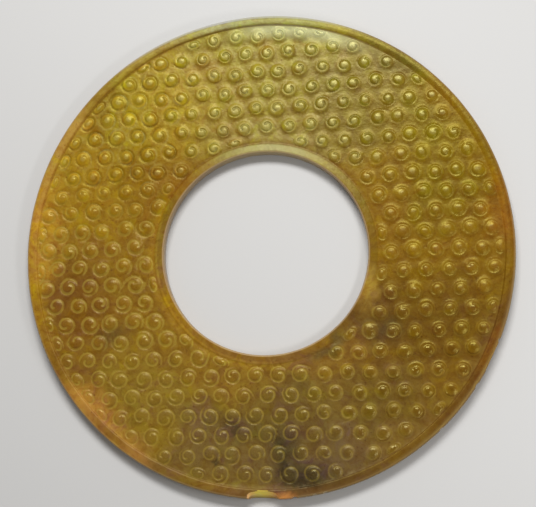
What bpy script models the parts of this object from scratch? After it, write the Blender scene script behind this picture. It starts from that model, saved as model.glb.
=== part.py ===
"""Jade bi disc: a flat ring of nephrite with a raised rim round its edge and its
hole, and hexagonal rows of raised grains on both faces. It lies on its underside.

Metres, +Z up. The origin is the centre of the disc on the surface it lies on.
"""

import math
import random

import bmesh
import bpy
from mathutils import Vector
from mathutils.geometry import delaunay_2d_cdt

MM = 0.001

# The disc
DISC_R = 70.0 * MM
HOLE_R = 29.25 * MM
THICKNESS = 4.5 * MM
HOLE_CENTRE = (-0.7 * MM, -0.4 * MM)  # the hole was drilled a little off centre
SEGMENTS = 72

# The outer rim: a flat band with a rounded edge and a step down to the field
RIM_EDGE_R = 1.2 * MM
RIM_INNER_R = 67.25 * MM
RIM_STEP_RUN = 0.2 * MM
EDGE_STEPS = 2

# The inner rim: a band that slopes down outwards from the hole to the field's edge
LIP_EDGE_R = 0.6 * MM
LIP_TOP_DROP = 0.1 * MM
LIP_FOOT_R = 31.95 * MM
LIP_FOOT_DROP = 0.65 * MM
FIELD_INNER_R = 32.2 * MM

# The sunk field and its grains
FIELD_DROP = 0.5 * MM
GRAIN_HEIGHT = 0.43 * MM
GRAIN_R = 2.2 * MM
FRONT_SIDES = 6
BACK_SIDES = 4
PITCH = 6.38 * MM  # from grain to grain in a row
ROW = 5.53 * MM  # from row to row
ROWS_SHIFT = (3.05 * MM, -2.0 * MM)
ROW_LEAN = 0.0385  # the rows rise a little to the right
ROW_FAN = 0.46  # radians per metre: the rows fan apart to the right
ROW_SPREAD = -0.24  # per metre: the grains crowd a little towards the top
HAND_ERROR = 0.35 * MM
GRAIN_SEED = 7
RIM_CLEARANCE = 0.8 * MM  # from a grain's centre to the field's edge, at least

# The chip out of the rim at -Y: a scallop, deeper on the upper face
CHIP_R = 9.6 * MM
CHIP_DEPTH = 1.3 * MM
CHIP_X = -0.4 * MM
CHIP_LEAN = math.radians(13)
CHIP_LENGTH = 14.0 * MM
CHIP_SIDES = 24

SAME = 0.01 * MM  # how near two places are the same place

JADE_COLOUR = (0.36, 0.24, 0.055, 1.0)
JADE_ROUGHNESS = 0.3


def clear_scene():
    for thing in list(bpy.data.objects):
        bpy.data.objects.remove(thing, do_unlink=True)


def jade_material():
    material = bpy.data.materials.new("jade")
    material.use_nodes = True
    shader = material.node_tree.nodes["Principled BSDF"]
    shader.inputs["Base Color"].default_value = JADE_COLOUR
    shader.inputs["Roughness"].default_value = JADE_ROUGHNESS
    shader.inputs["Metallic"].default_value = 0.0
    return material


def quarter_round(radius, height, edge_r, outward):
    """Radius and height along a rounded edge, from the wall to the flat face."""
    for step in range(EDGE_STEPS + 1):
        turn = math.radians(90.0 * step / EDGE_STEPS)
        inset = edge_r * (1.0 - math.cos(turn))
        yield radius - outward * inset, height - edge_r * (1.0 - math.sin(turn))


def outer_profile():
    """The upper half of the outer rim, from the wall in to the field's edge."""
    yield from quarter_round(DISC_R, THICKNESS, RIM_EDGE_R, 1.0)
    yield RIM_INNER_R, THICKNESS
    yield RIM_INNER_R - RIM_STEP_RUN, THICKNESS - FIELD_DROP


def inner_profile():
    """The upper half of the inner rim, from the hole's wall out to the field."""
    yield from quarter_round(HOLE_R, THICKNESS - LIP_TOP_DROP, LIP_EDGE_R, -1.0)
    yield LIP_FOOT_R, THICKNESS - LIP_FOOT_DROP
    yield FIELD_INNER_R, THICKNESS - FIELD_DROP


def turn_rim(mesh, centre, profile):
    """Spins a profile and its mirror image below it round a centre."""
    upper = list(profile)
    outline = [(r, THICKNESS - z) for r, z in reversed(upper)] + upper
    spots = [(centre[0] + r, centre[1], z) for r, z in outline]
    verts = [mesh.verts.new(spot) for spot in spots]
    edges = [mesh.edges.new(pair) for pair in zip(verts, verts[1:])]
    bmesh.ops.spin(
        mesh,
        geom=verts + edges,
        cent=(centre[0], centre[1], 0.0),
        axis=(0.0, 0.0, 1.0),
        angle=2.0 * math.pi,
        steps=SEGMENTS,
        use_merge=True,
    )


def open_loop(mesh, centre, radius, height):
    """The open edge at a radius and height, as vertices in order round a centre."""
    found = []
    for vert in mesh.verts:
        x, y, z = vert.co - Vector((centre[0], centre[1], height))
        if abs(math.hypot(x, y) - radius) < SAME and abs(z) < SAME:
            found.append((math.atan2(y, x), vert))
    found.sort(key=lambda pair: pair[0])
    return [vert for turn, vert in found]


def grain_centres():
    """Hexagonal rows laid out by eye, which lean and fan a little."""
    wander = random.Random(GRAIN_SEED)
    reach = int(DISC_R / ROW) + 2
    for row in range(-reach, reach + 1):
        for place in range(-2 * reach, 2 * reach + 1):
            along = PITCH * (place + row / 2)
            up = ROW * row
            x = ROWS_SHIFT[0] + along * (1.0 + ROW_SPREAD * up)
            y = ROWS_SHIFT[1] + up + along * (ROW_LEAN + ROW_FAN * up)
            x += wander.uniform(-HAND_ERROR, HAND_ERROR)
            y += wander.uniform(-HAND_ERROR, HAND_ERROR)
            yield x, y


def field_grains():
    """The grains whose centres stand clear of both rims."""
    outer = RIM_INNER_R - RIM_STEP_RUN - RIM_CLEARANCE
    inner = FIELD_INNER_R + RIM_CLEARANCE
    for x, y in grain_centres():
        from_hole = math.hypot(x - HOLE_CENTRE[0], y - HOLE_CENTRE[1])
        if math.hypot(x, y) < outer and from_hole > inner:
            yield x, y


def grain_foot(x, y):
    """The radius of one grain's foot, less where it would run into a rim."""
    outer = RIM_INNER_R - RIM_STEP_RUN
    from_hole = math.hypot(x - HOLE_CENTRE[0], y - HOLE_CENTRE[1])
    room = min(outer - math.hypot(x, y), from_hole - FIELD_INNER_R)
    return min(GRAIN_R, 0.85 * room)


def carve_field(mesh, ground, full_height, sides):
    """Fills the ring between the rims with ground and low pointed grains."""
    outer = open_loop(mesh, (0.0, 0.0), RIM_INNER_R - RIM_STEP_RUN, ground)
    inner = open_loop(mesh, HOLE_CENTRE, FIELD_INNER_R, ground)
    verts = outer + inner
    loops = [(i, (i + 1) % SEGMENTS) for i in range(SEGMENTS)]
    loops += [(SEGMENTS + a, SEGMENTS + b) for a, b in loops]
    for x, y in field_grains():
        foot_r = grain_foot(x, y)
        for side in range(sides):
            turn = 2.0 * math.pi * side / sides
            px = x + foot_r * math.cos(turn)
            py = y + foot_r * math.sin(turn)
            verts.append(mesh.verts.new((px, py, ground)))
        peak = ground + full_height * foot_r / GRAIN_R
        verts.append(mesh.verts.new((x, y, peak)))
    whole_hull = 0
    points = [vert.co.xy for vert in verts]
    result = delaunay_2d_cdt(points, loops, [], whole_hull, 1e-7)
    source = [found[0] for found in result[3]]
    for corners in result[2]:
        places = [source[i] for i in corners]
        in_the_hole = all(SEGMENTS <= place < 2 * SEGMENTS for place in places)
        if full_height < 0.0:
            places.reverse()
        if not in_the_hole:
            mesh.faces.new([verts[place] for place in places])


def disc_mesh():
    mesh = bmesh.new()
    turn_rim(mesh, (0.0, 0.0), outer_profile())
    turn_rim(mesh, HOLE_CENTRE, inner_profile())
    top_ground = THICKNESS - FIELD_DROP
    carve_field(mesh, top_ground, GRAIN_HEIGHT, FRONT_SIDES)
    carve_field(mesh, FIELD_DROP, -GRAIN_HEIGHT, BACK_SIDES)
    bmesh.ops.recalc_face_normals(mesh, faces=mesh.faces)
    return mesh


def new_object(name, mesh):
    data = bpy.data.meshes.new(name)
    mesh.to_mesh(data)
    mesh.free()
    thing = bpy.data.objects.new(name, data)
    bpy.context.scene.collection.objects.link(thing)
    return thing


def chip_cutter():
    """A leaning round bar, hidden, that bites the scallop out of the rim."""
    mesh = bmesh.new()
    bmesh.ops.create_cone(
        mesh,
        cap_ends=True,
        segments=CHIP_SIDES,
        radius1=CHIP_R,
        radius2=CHIP_R,
        depth=CHIP_LENGTH,
    )
    cutter = new_object("chip_cutter", mesh)
    cutter.location = (CHIP_X, -DISC_R + CHIP_DEPTH - CHIP_R, 0.0)
    cutter.rotation_euler = (-CHIP_LEAN, 0.0, 0.0)
    cutter.hide_render = True
    cutter.display_type = "WIRE"
    return cutter


def build_disc():
    disc = new_object("jade_disc", disc_mesh())
    disc.data.materials.append(jade_material())
    bite = disc.modifiers.new("chip", "BOOLEAN")
    bite.operation = "DIFFERENCE"
    bite.solver = "EXACT"
    bite.object = chip_cutter()
    return disc


clear_scene()
build_disc()
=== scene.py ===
"""A jade bi disc lying on a pale floor: a ring of old nephrite, carved with spiral grains."""

import math
import random
from functools import partial

import bmesh
import bpy
import numpy as np
from mathutils import Matrix, Vector, noise
from mathutils.geometry import delaunay_2d_cdt


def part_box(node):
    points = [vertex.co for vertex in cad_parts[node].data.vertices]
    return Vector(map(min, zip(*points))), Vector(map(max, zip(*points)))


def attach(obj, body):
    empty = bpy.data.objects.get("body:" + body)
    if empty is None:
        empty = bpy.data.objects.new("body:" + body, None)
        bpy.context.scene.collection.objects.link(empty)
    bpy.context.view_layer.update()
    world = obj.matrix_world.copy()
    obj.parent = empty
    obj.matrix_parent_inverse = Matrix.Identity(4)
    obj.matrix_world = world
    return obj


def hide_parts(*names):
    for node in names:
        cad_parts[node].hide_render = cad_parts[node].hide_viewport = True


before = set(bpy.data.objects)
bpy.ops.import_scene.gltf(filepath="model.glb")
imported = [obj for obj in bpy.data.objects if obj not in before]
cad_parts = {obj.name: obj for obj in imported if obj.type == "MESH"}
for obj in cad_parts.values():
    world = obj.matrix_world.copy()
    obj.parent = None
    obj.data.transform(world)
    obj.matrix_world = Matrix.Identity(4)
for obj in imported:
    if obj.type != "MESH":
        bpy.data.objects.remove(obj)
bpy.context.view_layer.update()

# --------------------------------------------------
# The blank. A bi starts as a slab of nephrite, ground flat, drilled through with a
# tube and trimmed round. Its edge is rubbed into a raised rim, and a second rim
# slopes away from the hole. Both are turned here as profiles, upper face and back.
MM = 0.001
disc_low, disc_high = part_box("jade_disc")
DISC_R = disc_high[0]
THICKNESS = disc_high[2]
HOLE_R = 29.25 * MM
HOLE_CENTRE = (-0.7 * MM, -0.4 * MM)  # the hole was drilled a little off centre
RIM_SIDES = 400
LIP_SIDES = 240

# The sunk field between the two rims
FIELD_INNER_R = 32.25 * MM
FIELD_DROP = 0.5 * MM

# The outer rim, from its foot out to the wall and round to the back. The shoulder
# is given by runs out from the foot in millimetres and shares of the rise, and the
# roll of the crest by runs and falls in millimetres.
RIM_FOOT_R = 66.9 * MM
RIM_FOOT_DROP = 0.42 * MM
RIM_TOP_DROP = 0.03 * MM
SHOULDER = ((0.08, 0.08), (0.17, 0.38), (0.26, 0.70), (0.4, 0.91), (0.7, 0.99), (1.15, 1.0))
ROLL = ((1.6, 0.01), (2.05, 0.05), (2.4, 0.11))
EDGE_DROP = 0.14 * MM
EDGE_ROUND = (0.55 * MM, 0.9 * MM)  # how far in from the wall, and how far down
BACK_ROUND = (1.2 * MM, 1.3 * MM)
BACK_STEP = ((0.5 * MM, 0.0), (0.3 * MM, 0.3 * MM), (0.0, FIELD_DROP))
MID_FIELD_R = (FIELD_INNER_R + RIM_FOOT_R) / 2

# The inner rim, or lip, from the field's edge up to the crest and down the hole
LIP_CREST_R = 29.8 * MM
LIP_TOP_DROP = 0.12 * MM
LIP_FOOT_R = 31.9 * MM
LIP_FOOT_DROP = 0.49 * MM
LIP_TROUGH_DROP = 0.58 * MM
TROUGH_RISE = (0.17 * MM, 0.02 * MM)
LIP_SLOPE = (0.2, 0.45, 0.7, 0.88)  # shares of the way from its foot to its crest
LIP_SWELL = 0.08
LIP_ROUND = 0.6 * MM
HOLE_WAIST = 0.03 * MM
HOLE_BACK_ROUND = (0.8 * MM, 0.78 * MM)
HOLE_BACK_RISE = 0.12 * MM
LIP_BACK_STEP = (0.3 * MM, 0.05 * MM)

RIM_WOBBLE = 0.1 * MM
LIP_WOBBLE = 0.07 * MM
FOOT_WOBBLE = 0.3 * MM
FOOT_WOBBLE_R = RIM_FOOT_R + 0.3 * MM
FOOT_WOBBLE_WIDTH = 0.6 * MM
RUBBED_RUN = 1.6 * MM
RUBBED_FALL = 0.12 * MM
SPARE = 0.01 * MM  # left between the stone and the end of the frame
LAYERS = ("raised", "cut", "dirt", "broken", "worn")  # marks on the mesh, for its colours


def arc(start, corner, end, steps):
    """Points along a quarter ellipse that leaves start and reaches end square on."""
    for step in range(steps + 1):
        turn = math.radians(90.0 * step / steps)
        along = 1.0 - math.cos(turn)
        up = math.sin(turn)
        yield tuple(s + up * (c - s) + along * (e - c) for s, c, e in zip(start, corner, end))


def rim_profile():
    """From the edge of the front field, over the rim and round to the back field."""
    top = THICKNESS - RIM_TOP_DROP
    foot = THICKNESS - RIM_FOOT_DROP
    edge = top - EDGE_DROP
    yield RIM_FOOT_R, foot
    for run, rise in SHOULDER:
        yield RIM_FOOT_R + run * MM, foot + (top - foot) * rise
    for run, fall in ROLL:
        yield RIM_FOOT_R + run * MM, top - fall * MM
    inset, depth = EDGE_ROUND
    yield from arc((DISC_R - inset, edge), (DISC_R, edge), (DISC_R, edge - depth), 5)
    inset, depth = BACK_ROUND
    yield from arc((DISC_R, depth), (DISC_R, 0.0), (DISC_R - inset, 0.0), 4)
    for run, height in BACK_STEP:
        yield RIM_FOOT_R + run, height


def lip_profile():
    """From the edge of the front field, over the lip of the hole to the back field."""
    top = THICKNESS - LIP_TOP_DROP
    foot = THICKNESS - LIP_FOOT_DROP
    trough = THICKNESS - LIP_TROUGH_DROP
    yield FIELD_INNER_R, trough
    yield FIELD_INNER_R - TROUGH_RISE[0], trough + TROUGH_RISE[1]
    yield LIP_FOOT_R, foot
    for step in LIP_SLOPE:
        fall = 1.0 - step * (1.0 + LIP_SWELL - LIP_SWELL * step)
        yield LIP_FOOT_R + (LIP_CREST_R - LIP_FOOT_R) * step, top - (top - foot) * fall
    yield from arc((LIP_CREST_R, top), (HOLE_R, top), (HOLE_R, top - LIP_ROUND), 4)
    yield HOLE_R + HOLE_WAIST, THICKNESS / 2
    out, up = HOLE_BACK_ROUND
    low = HOLE_BACK_RISE
    yield from arc((HOLE_R, low + up), (HOLE_R, low), (HOLE_R + out, low), 3)
    yield FIELD_INNER_R - LIP_BACK_STEP[0], FIELD_DROP - LIP_BACK_STEP[1]
    yield FIELD_INNER_R, FIELD_DROP


def turn_round(mesh, centre, profile, sides):
    """Spins a profile round a centre. The first and last loops are the open edges."""
    verts = [mesh.verts.new((centre[0] + r, centre[1], z)) for r, z in profile]
    edges = [mesh.edges.new(pair) for pair in zip(verts, verts[1:])]
    bmesh.ops.spin(
        mesh,
        geom=verts + edges,
        cent=(centre[0], centre[1], 0.0),
        axis=(0.0, 0.0, 1.0),
        angle=2.0 * math.pi,
        steps=sides,
        use_merge=True,
    )


def portion(value, none, full):
    """How far a value has come from none to full, from zero to one."""
    return max(0.0, min(1.0, (value - none) / (full - none)))


def rubbed(way):
    """How far the foot of the rim is worn soft in a direction: most at the upper right."""
    right = portion(way.x, 0.15, 0.5) * portion(way.y, -0.1, 0.2)
    left = portion(-way.x, 0.3, 0.6) * portion(way.y, 0.0, 0.3)
    return 0.9 * right + 0.35 * left


def rub_down(vert, way, radius):
    """Lowers the front of the rim into a soft slope where it is rubbed."""
    if vert.co.z <= THICKNESS / 2:
        return
    run = portion(radius - RIM_FOOT_R, 0.0, RUBBED_RUN)
    if run < 1.0:
        rise = run * run * (3.0 - 2.0 * run)
        soft = THICKNESS - RIM_FOOT_DROP * (1.0 - rise) - RIM_TOP_DROP * run
        vert.co.z += rubbed(way) * (soft - vert.co.z)
    if way.x > 0.0:
        vert.co.z -= RUBBED_FALL * rubbed(way) * run


def wobble(way, seed):
    """How unevenly a rim was ground in a direction: long swells and short ones."""
    slow = noise.noise(Vector((way.x * 2.2, way.y * 2.2, seed)))
    quick = noise.noise(Vector((way.x * 9.0, way.y * 9.0, 5.0)))
    return 0.6 + 0.75 * slow + 0.35 * quick


def foot_wobble(way, radius):
    """The foot of the rim wanders more than its edge."""
    away = (radius - FOOT_WOBBLE_R) / FOOT_WOBBLE_WIDTH
    wander = noise.noise(Vector((way.x * 3.1, way.y * 3.1, 1.0)))
    return FOOT_WOBBLE * wander * math.exp(-(away**2))


def hand_ground(mesh):
    """Hand grinding leaves both rims a little out of round, inwards only."""
    for vert in mesh.verts:
        is_rim = vert.co.xy.length > MID_FIELD_R
        centre = Vector((0.0, 0.0)) if is_rim else Vector(HOLE_CENTRE)
        arm = vert.co.xy - centre
        way = arm.normalized()
        if is_rim:
            rub_down(vert, way, arm.length)
            near = portion(arm.length, RIM_FOOT_R, DISC_R)
            shift = foot_wobble(way, arm.length) - RIM_WOBBLE * wobble(way, 3.0) * near
        else:
            near = portion(arm.length, FIELD_INNER_R, HOLE_R)
            shift = LIP_WOBBLE * wobble(way, 9.0) * near
        vert.co.xy = centre + way * (arm.length + shift)
        vert.co.y = max(vert.co.y, disc_low[1] + SPARE)


# Chips in the edge: degrees round from +X, half the width, and how deep each goes in
# from the wall at the upper face and at the underside.
CHIPS = (
    (268.9, 4.6 * MM, 2.5 * MM, 0.6 * MM),
    (276.0, 0.8 * MM, 0.7 * MM, 0.45 * MM),
    (280.8, 0.6 * MM, 0.55 * MM, 0.05 * MM),
    (283.2, 0.8 * MM, 0.5 * MM, 0.1 * MM),
    (262.2, 1.1 * MM, 0.05 * MM, 0.5 * MM),
    (334.0, 4.8 * MM, 0.34 * MM, 0.26 * MM),
    (338.0, 0.7 * MM, 0.6 * MM, 0.3 * MM),
    (326.5, 0.9 * MM, 0.42 * MM, 0.3 * MM),
    (313.6, 0.7 * MM, 0.36 * MM, 0.25 * MM),
)
CHIP_FLARE = 1.4  # how late a chip deepens on the way up
CHIP_NARROWING = 0.14  # the share of its width that it loses at the underside
CHIP_STEEPNESS = 0.32  # the less, the steeper its ends
CHIP_REFINE = 4
CHIP_MARGIN = (1.25, 0.5 * MM)  # the finer mesh reaches so many half widths, and more
CHIP_HALVINGS = 18
BROKEN_FULL = 0.45 * MM  # stone this far below the old surface is broken all through
RIM_CORE = (66.6 * MM, 2.1 * MM)  # radius and height inside the rim that no chip reaches
TOUCH = 1e-7


def turn_of(place):
    """A place's angle round the disc from +X."""
    return math.atan2(place.y, place.x) % (2.0 * math.pi)


def chip_depth(turn, z):
    """How far in from the wall the stone is gone, at an angle round and a height."""
    deepest = 0.0
    lift = portion(z, 0.0, THICKNESS)
    for place, half, above, below in CHIPS:
        depth = below + (above - below) * lift**CHIP_FLARE
        reach = half * (1.0 - CHIP_NARROWING * (1.0 - lift))
        shell = noise.noise(Vector((turn * 30.0, z / MM * 0.7, place)))
        away = (turn - math.radians(place)) * DISC_R / reach + 0.15 * shell
        if abs(away) < 1.0:
            ripple = 1.0 + 0.12 * shell
            deepest = max(deepest, depth * (1.0 - away * away) ** CHIP_STEEPNESS * ripple)
    return deepest


def refine_at_chips(mesh):
    """Makes the rim's mesh finer at each chip."""
    widths, more = CHIP_MARGIN
    near = {}
    for face in mesh.faces:
        middle = face.calc_center_median()
        if middle.xy.length > RIM_FOOT_R + 0.6 * MM:
            for place, half, above, below in CHIPS:
                away = abs(turn_of(middle) - math.radians(place)) * DISC_R
                if away < widths * half + more:
                    near.update(dict.fromkeys(face.edges))
    bmesh.ops.subdivide_edges(mesh, edges=list(near), cuts=CHIP_REFINE, use_grid_fill=True)


def stone_left(radius, z, turn):
    """The share of the way from the rim's core to a place that is still stone."""
    core_r, core_z = RIM_CORE
    low, high = 0.0, 1.0
    for halving in range(CHIP_HALVINGS):
        part = (low + high) / 2
        r = core_r + part * (radius - core_r)
        if r > DISC_R - chip_depth(turn, core_z + part * (z - core_z)):
            high = part
        else:
            low = part
    return low


def knock_off_chips(mesh):
    """Moves the rim back to the broken face wherever a chip is gone from it."""
    refine_at_chips(mesh)
    broken = mesh.verts.layers.float["broken"]
    core_r, core_z = RIM_CORE
    for vert in mesh.verts:
        radius = vert.co.xy.length
        turn = turn_of(vert.co)
        is_edge = radius >= RIM_FOOT_R + 0.5 * MM
        if is_edge and radius > DISC_R - chip_depth(turn, vert.co.z) + TOUCH:
            left = stone_left(radius, vert.co.z, turn)
            vert[broken] = min(1.0, radius * (1.0 - left) / BROKEN_FULL)
            vert.co.z = core_z + left * (vert.co.z - core_z)
            vert.co.xy = vert.co.xy * ((core_r + left * (radius - core_r)) / radius)


def open_loop(mesh, front, outer):
    """The vertices of one open edge, in order round the disc."""
    found = set()
    for edge in mesh.edges:
        if edge.is_boundary:
            for vert in edge.verts:
                is_outer = vert.co.xy.length > MID_FIELD_R
                is_front = vert.co.z > THICKNESS / 2
                if is_outer == outer and is_front == front:
                    found.add(vert)
    return sorted(found, key=lambda vert: math.atan2(vert.co.y, vert.co.x))


# --------------------------------------------------
# The grains. The carver sank the field of each face round rows of raised grains,
# laid out by eye in hexagonal rows that lean and fan a little, and then cut a
# spiral groove into every grain of the front. The back has the grains only.
PITCH = 6.38 * MM
ROW = 5.53 * MM
ROWS_SHIFT = (3.05 * MM, -2.0 * MM)
ROW_LEAN = 0.0385
ROW_FAN = 0.46
ROW_SPREAD = -0.24
HAND_ERROR = 0.35 * MM
GRAIN_SEED = 7
OUTERMOST_GRAIN = 67.55 * MM  # grains close to a rim are cut off by it
INNERMOST_GRAIN = 32.0 * MM
CROWDED = 2.2 * MM  # a grain nearer than this to a rim is squeezed against it

# How the grains are cut in three parts of the disc: on the left and below, at the
# top, and on the right. Lengths are in millimetres. The groove starts so far from
# the middle of the grain, hooks out by the reach, then opens slowly with each radian.
#             left   top    right
CUTTING = {
    "start": (0.35, 0.68, 1.52),
    "reach": (1.50, 0.46, 0.32),
    "growth": (0.085, 0.105, 0.045),
    "turns": (1.30, 0.98, 1.10),
    "width": (0.80, 0.80, 0.92),
    "depth": (0.15, 0.34, 0.14),
    "ridge": (0.0, 0.02, 0.0),
    "skirt": (0.0, 0.0, 0.165),
    # how dark the dirt at each grain's foot is, painted darker on its lower side as shade
    "dirt": (0.10, 0.80, 0.50),
    "dome_r": (2.40, 2.26, 2.15),
    "dome_h": (0.44, 0.46, 0.45),
    "fullness": (1.15, 0.62, 1.0),
    "tail": (0.20, 0.55, 0.10),
    "loss": (0.10, 0.50, 0.60),  # of the groove's depth by its end
}
CUT_SEED = 23
HOOK_TURN = 1.5  # radians over which the hook swings out
TAIL_TURN = 1.2  # and over which the tail leaves the grain
RUN_IN = 0.6  # and over which the groove gets its depth
RUN_OUT = 0.9
LEFT_HANDED = 0.06  # one grain in so many is wound the other way
LONG_TAILS = 0.14  # one in so many on the left has a tail that reaches the next
INNER_HOOK = 0.3  # one in so many on the right is cut nearer to its middle
FULL_CUT = 0.15 * MM  # as deep as a groove gets its whole colour
BURR = (0.75, 0.46 * MM)  # its place, in widths of the groove, and its own width
ARRIS = (0.82, 0.38 * MM)
FULL_RIDGE = 0.07 * MM
SKIRT_FOOT = 2.95  # on the right a low step is left standing round each grain, in mm
SKIRT_TOP = 2.35
FULL_SKIRT = 0.12
# Widths of the dirt and painted shade on a grain's lower side and on the ground at its foot
DIRT_AND_SHADE_WIDTHS = (0.32, 0.45)  # of the dirt on a grain's side and on the ground at its foot
TOP_SINK = 0.14 * MM  # the ground of the top is cut deeper by this
CLIMB_R = 61.0 * MM  # from here the ground climbs to the foot of the rim
TROUGH_RUN = 1.7 * MM
GRAIN_REACH = 4.9 * MM

BACK_DOME_H = 0.4 * MM
BACK_FULLNESS = 1.15

# The points of the mesh: so many radians apart along a groove, and over its width.
# Rings of so many points, at radii in millimetres, shape the dome and its skirt.
GROOVE_STEP = math.radians(17)
GROOVE_ACROSS = (-0.5, -0.25, 0.0, 0.25, 0.5, 0.8)
DOME_RINGS = ((0.0, 1), (0.55, 6), (1.1, 9), (1.6, 12), (2.15, 15), (2.6, 15))
SKIRT_RINGS = (*DOME_RINGS[:-1], (2.38, 18), (2.67, 20), (2.98, 20))
SKIRT_MIN = 0.03
BACK_RINGS = ((0.0, 1), (0.5, 6), (1.0, 11))  # in shares of the dome's radius
CLEAR_OF_RIM = 0.3 * MM
GROOVE_GAP = 0.165 * MM
GROUND_SPACING = 0.7 * MM
GROUND_GAP = 0.5 * MM
BACK_GRAIN_GAP = 0.3 * MM
BACK_SPACING = 1.5 * MM
BACK_GAP = 0.9 * MM
HEX_ROW = 0.866  # from row to row in an even scatter, as a share of its spacing
SAME_POINT = 1e-8


def grain_centres():
    """The places of all grains that stand clear of both rims."""
    wander = random.Random(GRAIN_SEED)
    reach = int(DISC_R / ROW) + 2
    for row in range(-reach, reach + 1):
        for place in range(-2 * reach, 2 * reach + 1):
            along = PITCH * (place + row / 2)
            up = ROW * row
            x = ROWS_SHIFT[0] + along * (1.0 + ROW_SPREAD * up)
            y = ROWS_SHIFT[1] + up + along * (ROW_LEAN + ROW_FAN * up)
            x += wander.uniform(-HAND_ERROR, HAND_ERROR)
            y += wander.uniform(-HAND_ERROR, HAND_ERROR)
            from_hole = math.hypot(x - HOLE_CENTRE[0], y - HOLE_CENTRE[1])
            if math.hypot(x, y) < OUTERMOST_GRAIN and from_hole > INNERMOST_GRAIN:
                yield x, y


def fading(value, none, full):
    """Zero up to none, one from full on, smooth between; both are in millimetres."""
    along = np.clip((value / MM - none) / (full - none), 0.0, 1.0)
    return along * along * (3.0 - 2.0 * along)


def hump(value, width):
    """One where a value is zero, falling off smoothly over a width."""
    return np.exp(-((value / width) ** 2))


def room_to_rims(x, y):
    """How far places are from the nearer edge of the field."""
    from_hole = np.hypot(x - HOLE_CENTRE[0], y - HOLE_CENTRE[1])
    return np.minimum(RIM_FOOT_R - np.hypot(x, y), from_hole - FIELD_INNER_R)


def upper_part(x, y):
    """One where the grains are cut as at the top of the disc, fading to none."""
    top = fading(y, 10, 36) * fading(x, -48, -14)
    return top * (1.0 - 0.75 * fading(x, 2, 42))


def circle(sides):
    """Points evenly round a circle of radius one."""
    for side in range(sides):
        turn = 2.0 * math.pi * side / sides
        yield math.cos(turn), math.sin(turn)


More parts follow.
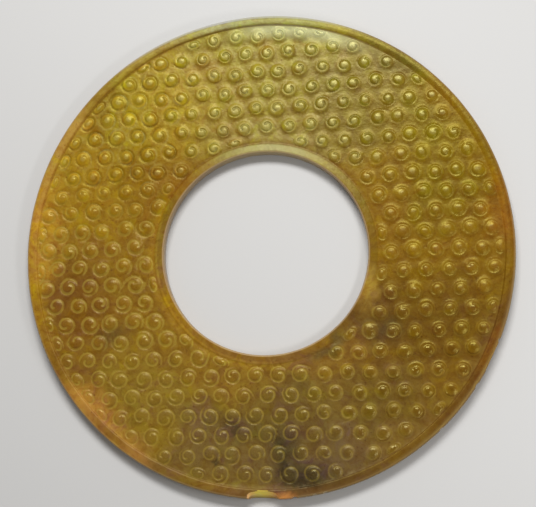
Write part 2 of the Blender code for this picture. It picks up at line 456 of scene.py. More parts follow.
class Grain:
    """One grain as the carver's hand made it: its size, its height and its spiral."""

    def __init__(self, centre, hand):
        self.x, self.y = centre
        size = hand.uniform(0.92, 1.05)
        squash = hand.uniform(0.95, 1.05)
        self.turned = hand.uniform(0.0, math.pi)
        self.size_u = size * squash
        self.size_v = size / squash
        self.first_turn = hand.uniform(0.0, 2.0 * math.pi)
        self.way = 1.0 if hand.random() < LEFT_HANDED else -1.0
        self.lowered = 1.0
        self.make_room()
        self.top = upper_part(self.x, self.y)
        self.east = fading(self.x, 2, 42) * (1.0 - self.top)
        self.suit_place()
        self.vary(hand)

    def make_room(self):
        """Moves a grain off the rim that crowds it and squeezes it to what is left."""
        room = float(room_to_rims(self.x, self.y))
        if room < CROWDED:
            middle = Vector((self.x, self.y))
            by_hole = middle.length < MID_FIELD_R
            inwards = (middle - Vector(HOLE_CENTRE)) if by_hole else -middle
            inwards.normalize()
            step = 0.5 * (CROWDED - room)
            self.x, self.y = middle + inwards * step
            self.turned = math.atan2(inwards.y, inwards.x)
            self.size_u = max(0.5, 1.06 * (room + step) / CROWDED)
            self.size_v = 0.96
            self.lowered = min(1.0, 0.25 + 0.75 * self.size_u)

    def suit_place(self):
        """Gives the grain the cut of its part of the disc, and what suits its place."""
        for name, (left_cut, top_cut, right_cut) in CUTTING.items():
            value = left_cut + (top_cut - left_cut) * self.top + (right_cut - left_cut) * self.east
            setattr(self, name, value)
        below = fading(self.y, 8, -30)
        below_right = below * self.east
        below_left = below * (1.0 - self.east)
        upper_left = fading(self.y, 10, 30) * fading(self.x, -6, -28)
        far_left = fading(self.x, -8, -32) * fading(self.y, -42, -16)
        self.size_u *= 1.0 - 0.11 * below_right
        self.size_v *= 1.0 - 0.11 * below_right
        self.dirt *= 1.0 + 0.8 * below_right
        self.dome_h *= (1.0 - 0.35 * below_left) * self.lowered
        self.fullness -= 0.35 * below_left
        self.dome_r *= 1.0 - 0.07 * upper_left
        self.start = max(self.start, 1.05 * upper_left)
        self.reach *= 1.0 - 0.55 * upper_left
        self.depth *= (1.0 + 0.05 * upper_left) * (1.0 + 0.10 * far_left)
        self.width *= 1.0 + 0.38 * far_left
        self.skirt *= 1.0 - 0.4 * fading(self.y, 12, 36)
        self.wear = 1.0 - 0.8 * self.east

    def vary(self, hand):
        """No two grains are cut quite the same."""
        self.dome_h *= hand.uniform(0.80, 1.06)
        self.travel = 2.0 * math.pi * self.turns * hand.uniform(0.86, 1.1)
        self.ring_size = hand.uniform(0.95, 1.05)
        self.tail *= hand.uniform(0.0, 1.8)
        if hand.random() < LONG_TAILS * (1.0 - self.east) * (1.0 - self.top):
            self.tail = hand.uniform(1.2, 2.0)
            self.travel += 0.7
        self.depth *= hand.uniform(0.75, 1.15)
        self.start += hand.uniform(-0.22, 0.22) * self.east
        self.worn_side = hand.uniform(0.0, 2.0 * math.pi)
        if hand.random() < INNER_HOOK * self.east:
            self.start -= 0.65
            self.reach += 0.6
            self.depth *= 1.3

    def own(self, x, y):
        """A place on the disc in the grain's own terms, in which its outline is round."""
        dx = x - self.x
        dy = y - self.y
        c = math.cos(self.turned)
        s = math.sin(self.turned)
        return (c * dx + s * dy) / self.size_u, (c * dy - s * dx) / self.size_v

    def on_disc(self, u, v):
        """The place on the disc of a place in the grain's own terms."""
        c = math.cos(self.turned)
        s = math.sin(self.turned)
        dx = u * self.size_u
        dy = v * self.size_v
        return self.x + c * dx - s * dy, self.y + s * dx + c * dy

    def groove_at(self, gone):
        """The groove's distance from the middle, and how fast that grows as it turns."""
        swing = np.exp(-gone / HOOK_TURN)
        leaving = np.clip(gone - (self.travel - TAIL_TURN), 0.0, TAIL_TURN) / TAIL_TURN
        radius = self.start + self.reach * (1.0 - swing) + self.growth * gone
        growth = self.reach / HOOK_TURN * swing + self.growth
        radius = radius * self.ring_size + self.tail * leaving**2
        growth = growth * self.ring_size + 2.0 * self.tail * leaving / TAIL_TURN
        return radius * MM, growth * MM

    def groove_stations(self):
        """Points along the groove and across it, from the middle out to the tail."""
        steps = int(self.travel / GROOVE_STEP)
        for step in range(steps + 1):
            gone = self.travel * step / steps
            radius, growth = self.groove_at(gone)
            turn = self.first_turn + self.way * gone
            out = Vector((math.cos(turn), math.sin(turn)))
            on = Vector((-out.y, out.x)) * self.way
            across = (out * radius - on * growth).normalized()
            for away in GROOVE_ACROSS:
                yield self.on_disc(*(out * radius + across * away * self.width * MM))

    def dome_stations(self):
        """Points in rings over the dome, and over the skirt where there is one."""
        for reach, sides in SKIRT_RINGS if self.skirt > SKIRT_MIN else DOME_RINGS:
            for spot in circle(sides):
                yield self.on_disc(*(Vector(spot) * reach * MM))

    def relief(self, x, y):
        """The dome, and the groove with the burr of stone left along its outer side."""
        u, v = self.own(x, y)
        radius = np.hypot(u, v)
        turn = np.arctan2(v, u)
        inside = np.clip(1.0 - (radius / (self.dome_r * MM)) ** 2, 0.0, 1.0)
        dome = inside**self.fullness
        skirt = fading(radius, SKIRT_FOOT, SKIRT_TOP)
        skirt *= 0.7 + 0.3 * np.cos(turn - self.worn_side)
        shown_skirt = 0.75 * skirt * min(1.0, self.skirt / FULL_SKIRT)
        raised = np.maximum(dome, shown_skirt)
        dome = np.maximum(dome, skirt * self.skirt / self.dome_h)

        first_pass = ((turn - self.first_turn) * self.way) % (2.0 * math.pi)
        depth = np.zeros_like(radius)
        ridge = np.zeros_like(radius)
        worn = np.zeros_like(radius)
        for lap in range(2):
            gone = first_pass + 2.0 * math.pi * lap
            middle, growth = self.groove_at(gone)
            done = np.clip(gone / self.travel, 0.0, 1.0)
            run_in = np.clip(gone / RUN_IN, 0.0, 1.0)
            run_out = np.clip((self.travel - gone) / RUN_OUT, 0.0, 1.0)
            ends = np.sqrt(run_in * run_out)
            off = (radius - middle) * middle / np.hypot(middle, growth)
            width = self.width * MM * (0.55 + 0.45 * run_out)
            across = np.clip(np.abs(off) / (0.5 * width), 0.0, 1.0)
            shape = (1.0 - across**2) ** 1.4 * ends * (1.0 - self.loss * done)
            depth = np.maximum(depth, shape * self.depth * MM)
            burr = hump(off - BURR[0] * width, BURR[1])
            ridge = np.maximum(ridge, burr * self.ridge * MM * ends)
            arris = hump(off - ARRIS[0] * width, ARRIS[1]) * run_in * run_out
            worn = np.maximum(worn, arris * self.wear * (1.0 - 0.9 * done))

        # Dirt round the foot of the grain, painted darker on its lower side, away from the lamp, as
        # shade
        at_foot = hump(
            radius / MM - self.dome_r - 0.05,
            np.where(radius < self.dome_r * MM, *DIRT_AND_SHADE_WIDTHS),
        )
        uphill = (y - self.y) / np.maximum(radius, 0.1 * MM)
        return {
            "dome": dome * self.dome_h * MM,
            "raised": raised,
            "depth": depth,
            "ridge": ridge * (1.0 - dome),
            "dirt": self.dirt * at_foot * np.clip(0.45 - 0.75 * uphill, 0.0, 1.0),
            "worn": worn,
        }


def ground_height(x, y):
    """The sunk ground of the front, which climbs a little towards the outer rim."""
    climb = np.clip((np.hypot(x, y) - CLIMB_R) / (RIM_FOOT_R - CLIMB_R), 0.0, 1.0)
    level = FIELD_DROP + (RIM_FOOT_DROP - FIELD_DROP) * climb**2
    level = level + TOP_SINK * upper_part(x, y) * fading(room_to_rims(x, y), 0.5, 4.0)
    from_hole = np.hypot(x - HOLE_CENTRE[0], y - HOLE_CENTRE[1])
    trough = np.clip(1.0 - (from_hole - FIELD_INNER_R) / TROUGH_RUN, 0.0, 1.0)
    return THICKNESS - level - (LIP_TROUGH_DROP - FIELD_DROP) * trough**2


def front_relief(grains, x, y):
    """Height of the carved front at many places, and the layers that colour it."""
    form = {name: np.zeros_like(x) for name in ("dome", "raised", "depth", "ridge", "dirt", "worn")}
    for grain in grains:
        near_x = np.abs(x - grain.x) < GRAIN_REACH
        near = np.nonzero(near_x & (np.abs(y - grain.y) < GRAIN_REACH))[0]
        for name, values in grain.relief(x[near], y[near]).items():
            form[name][near] = np.maximum(form[name][near], values)
    at_rim = fading(room_to_rims(x, y), 0.0, 0.5)
    ground = ground_height(x, y)
    rise = form["dome"] * (THICKNESS - ground) / FIELD_DROP + form["ridge"] - form["depth"]
    layers = {
        "raised": np.maximum(form["raised"], form["ridge"] / FULL_RIDGE) * at_rim,
        "cut": form["depth"] / FULL_CUT * at_rim,
        "dirt": form["dirt"] * at_rim,
        "worn": form["worn"] * at_rim,
    }
    return ground + rise * at_rim, layers


def back_relief(grains, x, y):
    """Height of the back at many places, and how raised each is."""
    dome = np.zeros_like(x)
    for grain in grains:
        radius = np.hypot(x - grain.x, y - grain.y) / (grain.dome_r * MM)
        dome = np.maximum(dome, np.clip(1.0 - radius**2, 0.0, 1.0) ** BACK_FULLNESS)
    dome = dome * fading(room_to_rims(x, y), 0.0, 0.5)
    return FIELD_DROP - BACK_DOME_H * dome, {"raised": dome}


def thinned(points, gap, others=()):
    """Points at least a gap from each other and from the others."""
    taken = {}
    for x, y in others:
        taken.setdefault((int(x // gap), int(y // gap)), []).append((x, y))
    kept = []
    for x, y in points:
        column, row = int(x // gap), int(y // gap)
        clear = True
        for i in (-1, 0, 1):
            for j in (-1, 0, 1):
                for ox, oy in taken.get((column + i, row + j), ()):
                    if (ox - x) ** 2 + (oy - y) ** 2 < gap * gap:
                        clear = False
        if clear:
            taken.setdefault((column, row), []).append((x, y))
            kept.append((x, y))
    return kept


def ground_points(spacing, room):
    """An even hexagonal scatter over the field, with so much room to the rims."""
    rows = int(DISC_R / spacing) + 1
    for row in range(-rows, rows + 1):
        for place in range(-rows, rows + 1):
            x = spacing * (place + 0.5 * (row % 2))
            y = spacing * row * HEX_ROW
            if room_to_rims(x, y) > room:
                yield x, y


def front_points(grains):
    """Points dense along the grooves and sparse on the ground between the grains."""
    centres = np.array([(grain.x, grain.y) for grain in grains])
    carved = []
    for number, grain in enumerate(grains):
        points = np.array([*grain.groove_stations(), *grain.dome_stations()])
        away = np.hypot(points[:, :1] - centres[:, 0], points[:, 1:] - centres[:, 1])
        own = away.argmin(axis=1) == number
        clear = room_to_rims(points[:, 0], points[:, 1]) > CLEAR_OF_RIM / 2
        carved += [tuple(point) for point in points[own & clear]]
    carved = thinned(carved, GROOVE_GAP)
    ground = thinned(ground_points(GROUND_SPACING, CLEAR_OF_RIM), GROUND_GAP, carved)
    return np.array(carved + ground)


def back_points(grains):
    """Points in rings over the plain domes of the back, and sparse between them."""
    domes = []
    for grain in grains:
        for ring, sides in BACK_RINGS:
            reach = grain.dome_r * MM * ring
            for c, s in circle(sides):
                spot = (grain.x + reach * c, grain.y + reach * s)
                if room_to_rims(*spot) > CLEAR_OF_RIM:
                    domes.append(spot)
    domes = thinned(domes, BACK_GRAIN_GAP)
    ground = thinned(ground_points(BACK_SPACING, 0.5 * MM), BACK_GAP, domes)
    return np.array(domes + ground)


def fill_field(mesh, front, points, height, layers):
    """Joins points into the sheet of faces between the outer and the inner rim."""
    outer = open_loop(mesh, front, True)
    inner = open_loop(mesh, front, False)
    rims = [(i, (i + 1) % len(outer)) for i in range(len(outer))]
    rims += [(len(outer) + i, len(outer) + (i + 1) % len(inner)) for i in range(len(inner))]
    verts = outer + inner
    first = len(verts)
    verts += [mesh.verts.new((x, y, z)) for (x, y), z in zip(points.tolist(), height.tolist())]
    for name, values in layers.items():
        layer = mesh.verts.layers.float[name]
        for vert, value in zip(verts[first:], values.tolist()):
            vert[layer] = value

    flat = [vert.co.xy for vert in verts]
    whole_hull = 0
    result = delaunay_2d_cdt(flat, rims, [], whole_hull, SAME_POINT)
    source = [found[0] for found in result[3]]
    for corners in result[2]:
        places = [source[i] for i in corners]
        on_one_rim = all(place < len(outer) for place in places)
        on_one_rim |= all(len(outer) <= place < first for place in places)
        if not front:
            places.reverse()
        if not on_one_rim:
            mesh.faces.new([verts[place] for place in places])


def carved_disc():
    """The whole disc: both rims turned, chipped and joined by the two carved fields."""
    mesh = bmesh.new()
    for name in LAYERS:
        mesh.verts.layers.float.new(name)
    turn_round(mesh, (0.0, 0.0), rim_profile(), RIM_SIDES)
    turn_round(mesh, HOLE_CENTRE, lip_profile(), LIP_SIDES)
    hand_ground(mesh)
    knock_off_chips(mesh)
    hand = random.Random(CUT_SEED)
    grains = [Grain(centre, hand) for centre in grain_centres()]
    front = front_points(grains)
    fill_field(mesh, True, front, *front_relief(grains, front[:, 0], front[:, 1]))
    back = back_points(grains)
    fill_field(mesh, False, back, *back_relief(grains, back[:, 0], back[:, 1]))
    bmesh.ops.triangulate(mesh, faces=[face for face in mesh.faces if len(face.verts) > 4])
    bmesh.ops.recalc_face_normals(mesh, faces=mesh.faces)
    return mesh


mesh = carved_disc()
data = bpy.data.meshes.new("carved_jade")
mesh.to_mesh(data)
mesh.free()
data.shade_smooth()
data.set_sharp_from_angle(angle=math.radians(60))
disc = bpy.data.objects.new("carved_jade_disc", data)
bpy.context.scene.collection.objects.link(disc)

# --------------------------------------------------
# The stone. Old nephrite, polished and slightly translucent: olive-gold, with
# clouds that turn yellow-green, orange, mauve-brown or nearly black, a russet skin
# along the edge, brown dirt round the grains, darkened as painted shade on their
# lower sides, and paler stone in the cut lines. Some marks below are painted light
# and shade, as their comments say.
GOLD = (0.25, 0.13, 0.009)

# Clouds are soft ellipses: a colour, the centre and the reach to each side in
# millimetres, the turn in degrees, and the strength. The later lie over the earlier.
CLOUDS = (
    # The first three clouds, and the darkest one at the bottom, are partly the stone's own tone and
    # partly painted light: lighter near the lamp at the top, darker away from it.
    ((0.27, 0.21, 0.02), (-6, 64), (92, 66), 0, 0.9),  # olive-green over the whole top
    ((0.2, 0.098, 0.004), (72, 0), (62, 84), 0, 0.9),  # brown over the right
    ((0.18, 0.108, 0.015), (4, -68), (88, 52), 0, 0.9),  # dull brown over the bottom
    ((0.33, 0.22, 0.012), (-30, 46), (34, 26), 30, 0.85),
    ((0.18, 0.13, 0.009), (32, 45), (36, 22), -30, 0.85),
    ((0.14, 0.1, 0.015), (35, 60), (22, 6), -32, 0.9),
    ((0.22, 0.12, 0.008), (52, 40), (16, 6), -52, 0.8),
    ((0.34, 0.2, 0.01), (-60, 24), (24, 36), 25, 0.85),
    ((0.25, 0.12, 0.004), (-30, 22), (18, 20), 30, 0.8),
    ((0.2, 0.088, 0.01), (-56, -16), (17, 26), 15, 0.85),  # mauve on the left
    ((0.23, 0.15, 0.01), (-52, 44), (12, 16), 40, 0.45),
    ((0.23, 0.14, 0.014), (-36, -38), (26, 18), -35, 0.8),
    ((0.23, 0.12, 0.01), (-8, -32), (34, 9), 0, 0.7),
    ((0.14, 0.084, 0.012), (6, -46), (18, 14), 0, 0.8),
    ((0.16, 0.093, 0.007), (32, -42), (20, 14), 0, 0.8),
    ((0.15, 0.071, 0.004), (46, -20), (28, 20), 0, 0.85),
    ((0.19, 0.127, 0.004), (48, 24), (20, 28), 10, 0.8),
    ((0.14, 0.068, 0.007), (32, -21), (14, 10), 0, 0.8),
    ((0.135, 0.08, 0.023), (10, -60), (30, 13), 0, 0.9),  # darkest at the bottom
    ((0.15, 0.088, 0.022), (-16, -53), (18, 12), 0, 0.8),
    ((0.15, 0.068, 0.006), (59, -36), (10, 34), -33, 0.9),
    # Painted reflections of the lamp: a milky sheen along the top edge and above the hole.
    ((0.3, 0.255, 0.034), (3, 68), (46, 14), 0, 0.95),  # milky along the top edge
    ((0.28, 0.22, 0.045), (6, 31.5), (27, 8), -8, 0.9),  # and above the hole
    # Orange along the left: partly a russet skin, partly a painted glow of light through the thin edge.
    ((0.45, 0.25, 0.022), (-68, 4), (10, 46), 0, 0.95),  # orange skin along the left
    ((0.41, 0.2, 0.03), (-51, -48), (38, 10), -43, 0.95),
    ((0.42, 0.27, 0.035), (-59, 34), (22, 6), 60, 0.9),
    ((0.16, 0.08, 0.024), (0, -69), (30, 4), 0, 0.85),
    ((0.1, 0.06, 0.012), (17, -26), (9, 3.5), 32, 0.7),
    ((0.42, 0.28, 0.03), (28.5, -12), (5, 8), 0, 0.8),
    ((0.24, 0.095, 0.008), (67, 13), (10, 24), -5, 0.95),  # russet at the right edge
    ((0.25, 0.15, 0.018), (57.5, -31), (24, 4), 62, 0.35),
    ((0.24, 0.08, 0.012), (60.8, -33), (17, 2.4), 61, 0.6),
    ((0.24, 0.13, 0.006), (51, 0), (9, 15), 0, 0.5),
    ((0.16, 0.11, 0.006), (20, 34), (14, 12), 0, 0.4),
)
SMOKE = (
    ((0.05, 0.034, 0.012), (10, -63.5), (13, 5.5), 4, 0.85),
    ((0.065, 0.044, 0.013), (5, -56), (7, 12), 5, 0.75),
    ((0.085, 0.054, 0.016), (-7, -50), (14, 6), -15, 0.5),
)
STAINS = (
    ((0.024, 0.015, 0.006), (4.6, -61.5), (2.4, 6), 8, 0.8),
    ((0.024, 0.015, 0.006), (9.5, -65.5), (9, 2.4), 0, 0.75),
    ((0.03, 0.018, 0.007), (3.5, -53), (2, 4), 20, 0.6),
    ((0.04, 0.024, 0.009), (-9, -50.5), (5, 1.6), -25, 0.6),
    ((0.04, 0.024, 0.009), (-14.5, -59.5), (2, 3), 0, 0.7),
    ((0.06, 0.038, 0.012), (33, -22), (8, 6), 20, 0.5),
    ((0.06, 0.036, 0.014), (-45, -24), (9, 5), 30, 0.45),
)
# Along the rims the first three numbers are a shade, which multiplies the colour.
RIM_SHADES = (
    ((1.05, 1.12, 2.4), (-28, 62), (26, 14), 25, 0.9),
    ((1.1, 1.03, 2), (-62, 28), (12, 42), -25, 0.9),
    ((0.84, 1, 2.3), (0, 68), (26, 12), 0, 0.9),
    ((0.81, 0.98, 1.75), (36, 56), (22, 12), -35, 0.9),
    ((1.02, 1.16, 1.35), (58, 33), (20, 10), -60, 0.9),
    ((0.8, 0.72, 1.2), (-38, -55), (24, 14), -35, 0.8),
    ((0.86, 0.75, 0.68), (14, -67), (20, 8), 0, 0.8),
    ((0.84, 0.72, 1), (59, -33), (26, 12), 60, 0.9),
    ((0.77, 0.77, 0.48), (-45, -51), (9, 5), -40, 0.9),
    ((1.16, 1.1, 1), (-26, -62.5), (7, 5), -23, 0.9),
    ((1.12, 1, 1.15), (-15, -67), (10, 6), -12, 0.9),
    ((1.34, 1.24, 0.85), (62, -29), (9, 5), 65, 0.9),
)
LIP_SHADES = (
    ((0.84, 0.9, 1.4), (32, 2), (10, 14), 0, 0.9),
    ((0.78, 0.92, 0.8), (24, 19), (14, 12), -40, 0.9),
    ((0.82, 0.9, 1.1), (0, 31), (22, 10), 0, 0.8),
    ((0.82, 0.77, 1.2), (-3, -31), (22, 10), 0, 0.9),
    ((0.9, 1.05, 1.8), (-32, 6), (10, 22), 0, 0.9),
)
CLOUD_CORE = 0.25  # the share of an ellipse's reach that has its full strength
SMOKE_CORE = 0.1
SHADE_CORE = 0.4

jade = bpy.data.materials.new("jade")
jade.use_nodes = True
tree = jade.node_tree
shader = tree.nodes["Principled BSDF"]


def plug(socket, value):
    """Links a socket to another, or fills it in. A colour of three numbers is opaque."""
    if isinstance(value, bpy.types.NodeSocket):
        tree.links.new(value, socket)
    elif socket.type == "RGBA" and len(value) == 3:
        socket.default_value = (*value, 1.0)
    else:
        socket.default_value = value


def node(kind, inputs, **settings):
    """A new node with its settings made and its inputs linked or filled in."""
    made = tree.nodes.new("ShaderNode" + kind)
    for key, value in settings.items():
        setattr(made, key, value)
    for key, value in inputs.items():
        plug(made.inputs[key], value)
    return made


def attribute(name):
    return node("Attribute", {}, attribute_name=name).outputs["Fac"]


def maths(operation, *values):
    return node("Math", dict(enumerate(values)), operation=operation).outputs[0]


def product(first, *others):
    for other in others:
        first = maths("MULTIPLY", first, other)
    return first


def vectors(operation, *values):
    return node("VectorMath", dict(enumerate(values)), operation=operation).outputs


def scaled(vector, factor):
    made = node("VectorMath", {0: vector, "Scale": factor}, operation="SCALE")
    return made.outputs[0]


def mixed(factor, first, second, blend="MIX"):
    inputs = {0: factor, 6: first, 7: second}
    return node("Mix", inputs, data_type="RGBA", blend_type=blend).outputs[2]


def ramp(value, low, high, to_low=0.0, to_high=1.0):
    """A smooth step between two values; the first may be the higher."""
    inputs = {0: value, 1: low, 2: high, 3: to_low, 4: to_high}
    return node("MapRange", inputs, interpolation_type="SMOOTHSTEP").outputs[0]


def band(value, start, full, waning, end):
    """One between full and waning, and none at start and end."""
    return product(ramp(value, start, full), ramp(value, end, waning))


def noisy(where, scale, detail=4.0, rough=0.55, twist=0.0):
    inputs = {"Vector": where, "Scale": scale, "Detail": detail}
    inputs.update({"Roughness": rough, "Distortion": twist})
    return node("TexNoise", inputs).outputs


def offset_noise(where, scale, detail, rough=0.55):
    """A vector that wanders to each side of nothing, by up to about a half."""
    parts = node("SeparateColor", {0: noisy(where, scale, detail, rough)["Color"]})
    wander = node("CombineXYZ", dict(enumerate(parts.outputs))).outputs[0]
    return vectors("SUBTRACT", wander, (0.5, 0.5, 0.5))[0]


coordinates = node("TexCoord", {}).outputs["Object"]
to_mm = {"Vector": coordinates, "Scale": (1.0 / MM, 1.0 / MM, 1.0 / MM)}
place = node("Mapping", to_mm).outputs[0]
raised, cut, dirt, broken, worn = (attribute(name) for name in LAYERS)
drifted = vectors("ADD", place, scaled(offset_noise(place, 0.07, 3.0), 22.0))[0]
x, y, height = node("SeparateXYZ", {0: place}).outputs
hole_centre = (HOLE_CENTRE[0] / MM, HOLE_CENTRE[1] / MM, 0.0)
flat = node("CombineXYZ", {0: x, 1: y}).outputs[0]
from_middle = vectors("LENGTH", flat)["Value"]
from_hole = vectors("DISTANCE", flat, hole_centre)["Value"]

# Ramps from the ground up the grains, over the disc, and out from its middle
up_grain = partial(ramp, raised)
rightwards = partial(ramp, x)
upwards = partial(ramp, y)
outwards = partial(ramp, from_middle)


def ellipse(centre, reach, turn=0.0, strength=1.0, core=0.0, where=drifted):
    """A mask with its full strength in the core of an ellipse and none outside it."""
    inputs = {
        "Vector": where,
        "Location": (*centre, 0.0),
        "Rotation": (0.0, 0.0, math.radians(turn)),
        "Scale": (*reach, 1000.0),
    }
    around = node("Mapping", inputs, vector_type="TEXTURE").outputs[0]
    inside = node("TexGradient", {0: around}, gradient_type="SPHERICAL").outputs["Fac"]
    return ramp(inside, 0.0, 1.0 - core, 0.0, strength)


def patch(colour, below, centre, reach, turn=0.0, strength=1.0, core=0.0, where=drifted):
    """A soft ellipse of another colour, with drifting edges."""
    return mixed(ellipse(centre, reach, turn, strength, core, where), below, colour)


def toned(mask, below, shade):
    """A colour multiplied by a shade where the mask is one."""
    return mixed(mask, below, mixed(1.0, below, shade, "MULTIPLY"))


# The body of the stone: clouds and smoke, then mottling and veins of other hues
colour = GOLD
for shade, *form in CLOUDS:
    colour = patch(shade, colour, *form, CLOUD_CORE)
for shade, *form in SMOKE:
    colour = patch(shade, colour, *form, SMOKE_CORE, place)
mottle = noisy(place, 0.3, 6.0, 0.6)["Fac"]
colour = toned(ramp(mottle, 0.4, 0.72), colour, (0.80, 0.71, 0.72))
hue = noisy(drifted, 0.17)["Fac"]
brown = mixed(upwards(-12, 22), (0.90, 0.80, 1.5), (0.96, 0.82, 0.60))
colour = toned(ramp(hue, 0.53, 0.68), colour, brown)
yellow = product(ramp(hue, 0.47, 0.32), upwards(-60, -20, 0.45, 1.0))
colour = toned(yellow, colour, (1.12, 1.20, 0.5))
green = noisy(drifted, 0.13, 5.0, 0.6)["Fac"]
colour = toned(ramp(green, 0.45, 0.7), colour, (1.0, 1.12, 1.0))

# The ground between the grains holds dirt: it is darker, mauve at the lower right,
# russet at the upper right and paler at the bottom.
ground = product(up_grain(0.4, 0.0), rightwards(-20, 40, 0.55, 1.0), upwards(-50, 0, 0.3, 1.0))
colour = toned(ground, colour, (0.89, 0.84, 0.72))
mauve = product(up_grain(0.45, 0.05), rightwards(-10, 26), upwards(4, -30), upwards(-66, -52, 0.4, 1.0))
colour = toned(mauve, colour, (0.91, 0.90, 1.55))
russet = product(rightwards(8, 36), upwards(0, 30), up_grain(0.6, 0.1, 0.3, 1.0))
colour = toned(russet, colour, (0.97, 0.88, 0.45))
pale_ground = product(upwards(-12, -42), up_grain(0.5, 0.1), rightwards(35, 5))
colour = toned(pale_ground, colour, (1.12, 1.18, 1.26))

# Painted light on the sides of the grains: lighter at the top of the disc and at
# its lower right, against the shade at their feet. The tops of the grains are
# browner at the lower right and amber on the left.
slope = product(band(raised, 0.0, 0.25, 0.45, 0.75), upwards(6, 32))
colour = toned(slope, colour, (1.15, 1.15, 1.2))
colour = toned(product(slope, rightwards(-16, -36)), colour, (1.12, 1.10, 1.15))
lower_right = product(rightwards(4, 28), upwards(-6, -32))
brown_top = product(up_grain(0.45, 0.75), lower_right)
colour = toned(brown_top, colour, (0.80, 0.73, 0.58))
halo = product(band(raised, 0.1, 0.35, 0.7, 0.9), lower_right)
colour = toned(halo, colour, (1.14, 1.20, 1.7))
amber_top = product(up_grain(0.5, 0.8), rightwards(-14, -34), ramp(maths("ABSOLUTE", y), 36, 12))
colour = toned(amber_top, colour, (0.93, 0.87, 0.65))
colour = toned(up_grain(0.3, 0.9), colour, (1.05, 1.07, 1.0))

# A painted cream highlight on the knobs at the top, which are also rubbed pale,
# and the rubbed arris of each groove
knob_highlight_and_wear = maths("MAXIMUM", up_grain(0.78, 0.94), ramp(worn, 0.15, 0.8, 0.0, 0.8))
knob_highlight_and_wear = product(knob_highlight_and_wear, upwards(8, 38, 0.0, 0.5), rightwards(12, 44, 1.0, 0.3))
knob_highlight_and_wear = product(knob_highlight_and_wear, rightwards(-44, -8, 0.6, 1.0))
colour = mixed(knob_highlight_and_wear, colour, (0.40, 0.345, 0.115))

# The cut lines are pale on the left and below, and darker elsewhere
lower_left = product(upwards(30, -5), rightwards(46, 4, 0.3, 1.0))
pale_cut = product(ramp(cut, 0.08, 0.65, 0.0, 0.48), lower_left, upwards(-64, -30, 0.6, 1.0))
colour = mixed(pale_cut, colour, (0.36, 0.255, 0.035))
darkened_cut = product(ramp(cut, 0.1, 1.2), maths("SUBTRACT", 1.0, lower_left))
colour = toned(product(darkened_cut, rightwards(15, 45, 1.0, 0.5)), colour, (0.76, 0.79, 0.85))
film = noisy(drifted, 0.42, 5.0, 0.65, 0.6)["Fac"]
film = product(ramp(film, 0.45, 0.62), up_grain(0.5, 0.0, 0.1, 0.8))
colour = toned(film, colour, (0.82, 0.70, 0.55))
# Dirt round the grains' feet, with painted shade on their lower sides
colour = toned(dirt, colour, (0.52, 0.42, 0.38))

# Burial has left dark stains and specks on the ground, less on the grains
bare = up_grain(0.8, 0.1, 0.25, 1.0)
smudge = scaled(offset_noise(place, 0.35, 4.0, 0.7), 9.0)
smudged = vectors("ADD", place, smudge)[0]
smudged_little = vectors("ADD", place, scaled(smudge, 0.3))[0]
for shade, *form in STAINS:
    colour = mixed(bare, colour, patch(shade, colour, *form, 0.0, smudged))
specks = ramp(noisy(place, 1.15, 3.0, 0.7)["Fac"], 0.62, 0.7)
colour = toned(product(specks, up_grain(0.5, 0.1, 0.15, 0.8)), colour, (0.6, 0.42, 0.5))

# The outer rim: brown skin at the lower right, a painted highlight along the
# rounded edge, and a painted milky reflection of the lamp along the top, both on
# the edge and on the ground at the rim's foot.
skin = product(outwards(68.4, 69.3, 0.0, 0.5), rightwards(-6, 22), upwards(0, -24))
colour = mixed(skin, colour, (0.17, 0.105, 0.045))
# A painted highlight along the rounded outer edge
colour = mixed(outwards(69.1, 69.8, 0.0, 0.5), colour, (0.42, 0.30, 0.14))
painted_glare_edge = product(outwards(68.9, 69.5, 0.0, 0.75), upwards(50, 67), rightwards(36, 14, 0.15, 1.0))
colour = mixed(painted_glare_edge, colour, (0.46, 0.45, 0.28))
painted_glare_foot = product(outwards(61.8, 66.0, 0.0, 0.8), outwards(67.4, 66.8))
painted_glare_foot = product(painted_glare_foot, band(x, -16, 2, 16, 34), upwards(0, 30))
colour = mixed(painted_glare_foot, colour, (0.46, 0.46, 0.24))

# The inner rim: light below the hole, a painted milky reflection of the lamp above
# it, with a light foot on the left and a tan wall down into the hole.
light_lip = product(ramp(from_hole, 32.1, 31.6), upwards(12, -14), rightwards(2, 14, 1.0, 0.2))
colour = toned(light_lip, colour, (1.33, 1.38, 1.9))
painted_glare_lip = product(ramp(from_hole, 32.0, 31.4), upwards(18, 30, 0.0, 0.33))
painted_glare_lip = product(painted_glare_lip, rightwards(-18, 0, 0.2, 1.0), rightwards(20, 4, 0.3, 1.0))
colour = mixed(painted_glare_lip, colour, (0.46, 0.44, 0.17))
lip_foot = product(band(from_hole, 31.0, 31.4, 33.0, 34.4), rightwards(14, -8), upwards(24, 6))
colour = toned(lip_foot, colour, (1.22, 1.27, 1.15))
colour = mixed(ramp(from_hole, 29.9, 29.6, 0.0, 0.7), colour, (0.40, 0.29, 0.17))

# Both rims change tone round the disc, and painted shade lines run along their feet
# at the top, where their slopes face away from the lamp
tan_rim = product(outwards(66.8, 67.4), rightwards(6, 30), ramp(maths("ABSOLUTE", y), 10, 30))
colour = toned(tan_rim, colour, (0.92, 0.84, 0.62))
outer_rim = product(outwards(66.7, 67.5), outwards(69.5, 68.8, 0.25, 1.0))
inner_rim = band(from_hole, 32.2, 31.7, 30.0, 29.6)
for shade, *form in RIM_SHADES:
    here = ellipse(*form, SHADE_CORE, place)
    colour = toned(product(here, outer_rim), colour, shade)
for shade, *form in LIP_SHADES:
    here = ellipse(*form, SHADE_CORE, place)
    colour = toned(product(here, inner_rim), colour, shade)
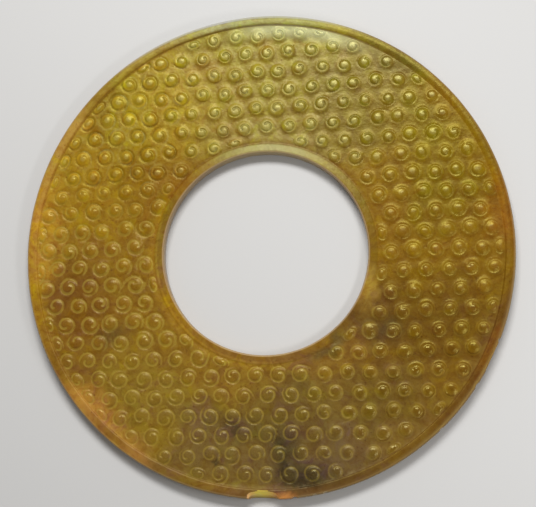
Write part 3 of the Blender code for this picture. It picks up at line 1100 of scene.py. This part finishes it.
# Painted light on the rim's soft foot at the upper right, where its slope faces away from the lamp
rim_foot_painted_light = product(band(from_middle, 66.4, 67.2, 68.0, 68.7), rightwards(14, 34), upwards(-6, 14))
colour = toned(rim_foot_painted_light, colour, (1.28, 1.34, 1.5))
inner_foot_shade = product(band(from_hole, 31.6, 32.0, 32.3, 33.1), upwards(8, 24, 0.0, 0.9))
colour = toned(inner_foot_shade, colour, (0.78, 0.66, 0.70))
outer_foot_shade = product(band(from_middle, 66.6, 66.9, 67.2, 67.7), upwards(0, 34, 0.0, 0.9))
colour = toned(product(outer_foot_shade, rightwards(44, 20, 0.3, 1.0)), colour, (0.80, 0.66, 0.50))

# Fresh stone shows in the chips: bright yellow in the large one, with a tongue of
# orange skin to each side, and duller in the others.
fresh = patch((1.0, 0.80, 0.10), (0.46, 0.33, 0.13), (-0.5, -69.0), (13.0, 9.0), where=place)
fresh = patch((0.95, 0.34, 0.05), fresh, (4.5, -69.5), (7.0, 6.0), where=smudged_little)
fresh = patch((0.80, 0.40, 0.20), fresh, (-6.5, -69.5), (4.0, 6.0), where=smudged_little)
bright = product(broken, ramp(height, 0.4, 3.4, 0.3, 1.0), rightwards(20, 36, 1.0, 0.45))
colour = mixed(bright, colour, fresh)
tongue = patch((0.58, 0.24, 0.06), colour, (4.8, -69.3), (4.6, 2.2), 3, 0.85, 0.0, smudged_little)
colour = mixed(ramp(height, 1.2, 3.6, 0.15, 1.0), colour, tongue)
plug(shader.inputs["Base Color"], colour)

# The polish: glossier on the grains, over a fine grit and slow lumps
grit = noisy(place, 1.6, 5.0, 0.6)["Fac"]
dull = maths("SUBTRACT", up_grain(0.5, 0.95, 0.33, 0.27), product(brown_top, 0.08))
plug(shader.inputs["Roughness"], maths("ADD", dull, ramp(grit, 0.3, 0.7, -0.04, 0.06)))
lumps = {"Strength": 0.2, "Distance": 0.5 * MM, "Height": noisy(place, 0.5, 2.0)["Fac"]}
pits = {"Strength": 0.15, "Distance": 0.1 * MM, "Height": grit}
pits["Normal"] = node("Bump", lumps).outputs[0]
plug(shader.inputs["Normal"], node("Bump", pits).outputs[0])
shader.inputs["IOR"].default_value = 1.61
polished = product(up_grain(0.72, 0.95), upwards(-45, 0, 0.1, 0.9), rightwards(-40, 10, 0.4, 1.0))
gloss = maths("ADD", up_grain(0.35, 0.8, 0.18, 0.25), upwards(15, 45, 0.0, 0.07))
gloss = maths("ADD", gloss, rightwards(0, 40, 0.0, 0.06))
plug(shader.inputs["Specular IOR Level"], maths("ADD", gloss, product(polished, 0.02)))
sheen = patch((1.0, 0.90, 0.20), (1.0, 0.90, 0.46), (-45, 35), (42, 36), core=0.3)
sheen = patch((1.0, 0.90, 0.22), sheen, (62, 8), (62, 92), core=0.3)
sheen = patch((1.0, 0.98, 0.42), sheen, (-6, 74), (50, 38))
sheen = mixed(tan_rim, sheen, (1.0, 0.86, 0.2))
plug(shader.inputs["Specular Tint"], mixed(polished, sheen, (1.0, 0.96, 0.41)))
shader.inputs["Subsurface Weight"].default_value = 0.15
shader.inputs["Subsurface Radius"].default_value = (1.0, 0.7, 0.25)
shader.inputs["Subsurface Scale"].default_value = 0.6 * MM

data.materials.append(jade)
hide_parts("jade_disc")
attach(disc, "root")

# --------------------------------------------------
# The floor. A plain sheet of pale painted board, wide enough to run out of view.
# It isn't part of the object: the disc only lies on it.
FLOOR_SIZE = 4.0
bpy.ops.mesh.primitive_plane_add(size=FLOOR_SIZE, location=(0.0, 0.0, 0.0))
floor = bpy.context.object
floor.name = "floor"
paint = bpy.data.materials.new("pale floor")
paint.use_nodes = True
coat = paint.node_tree.nodes["Principled BSDF"]
coat.inputs["Base Color"].default_value = (0.58, 0.575, 0.565, 1.0)
coat.inputs["Roughness"].default_value = 0.6
floor.data.materials.append(paint)

# --------------------------------------------------
# The light. A wide soft box stands beyond the disc and a small one near its lower
# right, each turned to face a point on it, and the room gives an even glow.
def softbox(name, stand, aim, size, watts):
    lamp = bpy.data.lights.new(name, "AREA")
    lamp.shape = "RECTANGLE"
    lamp.size, lamp.size_y = size
    lamp.energy = watts
    thing = bpy.data.objects.new(name, lamp)
    thing.location = stand
    thing.rotation_euler = (Vector(stand) - Vector(aim)).to_track_quat("Z", "Y").to_euler()
    bpy.context.scene.collection.objects.link(thing)


softbox("key", stand=(0.01, 0.318, 0.509), aim=(0.0, 0.0, 0.0), size=(0.34, 0.15), watts=3.3)
softbox("side", stand=(0.132, -0.078, 0.18), aim=(0.04, -0.03, 0.0), size=(0.1, 0.035), watts=0.115)
world = bpy.data.worlds.new("studio")
world.use_nodes = True
glow = world.node_tree.nodes["Background"].inputs
glow["Color"].default_value = (1.0, 0.98, 0.95, 1.0)
glow["Strength"].default_value = 0.25
bpy.context.scene.world = world
bpy.context.scene.view_settings.view_transform = "Standard"

# --------------------------------------------------
# The camera. It looks down almost from overhead, tilted a little towards the front
# right, from far enough off that the disc shows hardly any perspective.
LOOKS_AT = Vector((0.1 * MM, -0.75 * MM, THICKNESS))
TILT = math.radians(11.3)
TOWARDS = Vector((0.506, -0.863, 0.0)).normalized()
DISTANCE = 427.0 * MM
FOCAL_LENGTH = 100.8

away = TOWARDS * math.sin(TILT) + Vector((0.0, 0.0, math.cos(TILT)))
right = Vector((0.0, 1.0, 0.0)).cross(away).normalized()
turned = Matrix((right, away.cross(right), away)).transposed().to_4x4()
lens = bpy.data.cameras.new("camera")
lens.lens = FOCAL_LENGTH
camera = bpy.data.objects.new("camera", lens)
camera.matrix_world = Matrix.Translation(LOOKS_AT + away * DISTANCE) @ turned
bpy.context.scene.collection.objects.link(camera)
bpy.context.scene.camera = camera
